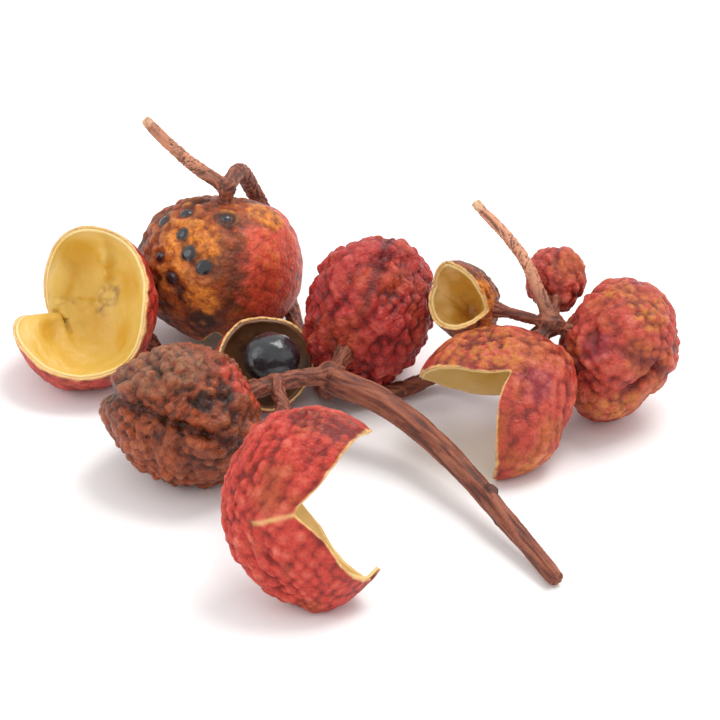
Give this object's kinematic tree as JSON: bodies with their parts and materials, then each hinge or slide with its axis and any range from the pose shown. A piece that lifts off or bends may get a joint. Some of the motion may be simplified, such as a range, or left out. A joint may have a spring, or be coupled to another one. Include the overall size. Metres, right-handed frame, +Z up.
{
  "type": "sichuan peppercorn sprig",
  "caption": "Dried Sichuan peppercorn sprig lying on its side: a forked brown twig carrying closed and split warty red husks with pale yellow linings and a black seed.",
  "frame": {"origin": "middle of the sprig's footprint, on the surface it lies on", "axes": "+X along its longest side, to the right as seen from the front; +Y away from the front; +Z up"},
  "size_m": [0.0266, 0.0254, 0.009],
  "materials": {
    "twig_bark": "dry, finely ridged bark",
    "seed_coat": "hard glossy black",
    "plum_skin": "dry, warty, satin",
    "dark_skin": "dry, warty, with shiny pustules",
    "red_skin": "dry, warty, satin",
    "rust_skin": "dry, pitted, with shiny oil glands",
    "husk_lining": "smooth, papery, slightly shiny"
  },
  "bodies": {
    "root": {"twig": "twig_bark", "seed": "seed_coat", "plum_berry": "plum_skin", "dark_berry": "dark_skin", "split_husk_skin": "red_skin", "open_husk_skin": "red_skin", "pitted_husk_skin": "rust_skin", "seed_husk_skin": "plum_skin", "star_right": "red_skin", "star_back": "red_skin", "star_front_skin": "red_skin", "star_left_skin": "rust_skin", "split_husk_lining": "husk_lining", "open_husk_lining": "husk_lining", "pitted_husk_lining": "husk_lining", "seed_husk_lining": "husk_lining", "star_front_lining": "husk_lining", "star_left_lining": "husk_lining"}
  },
  "joints": []
}
